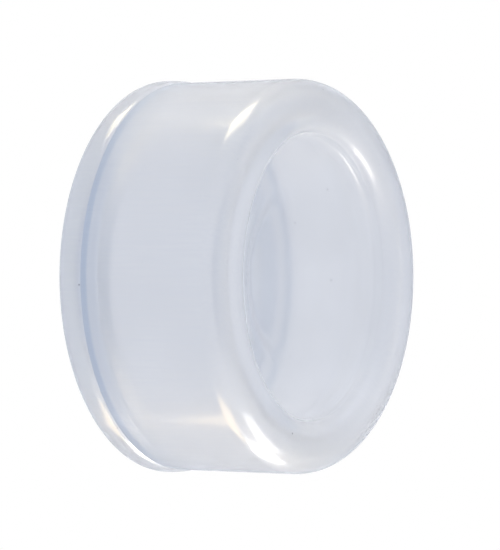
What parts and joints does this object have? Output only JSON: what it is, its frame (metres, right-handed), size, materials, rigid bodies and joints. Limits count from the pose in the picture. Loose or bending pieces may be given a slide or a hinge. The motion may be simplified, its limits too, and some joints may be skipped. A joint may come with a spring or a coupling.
{
  "type": "push-button boot",
  "caption": "Clear silicone boot that snaps over a round flush push-button and lets a finger press it through a thin sealed face.",
  "frame": {"origin": "centre of the flat rear face, where the boot meets the panel", "axes": "+Z along the boot's axis, from the rear face out through the pressed face; X and Y are alike"},
  "size_m": [0.0318, 0.0318, 0.0154],
  "materials": {
    "wall_silicone": "clear silicone, glossy, with a faint cool tint",
    "face_silicone": "clear silicone, glossy, thin"
  },
  "bodies": {
    "boot": {"retaining_lip": "wall_silicone", "sealing_bead": "wall_silicone", "skirt": "wall_silicone", "front_roll": "wall_silicone", "diaphragm": "face_silicone"},
    "face": {"button_membrane": "face_silicone", "centre_pad": "face_silicone"}
  },
  "joints": [
    {"name": "press", "type": "slide", "parent": "boot", "child": "face", "axis": [0, 0, -1], "range_m": [0, 0.004], "stiffness_N_per_m": 250, "deforming": ["diaphragm"]}
  ]
}
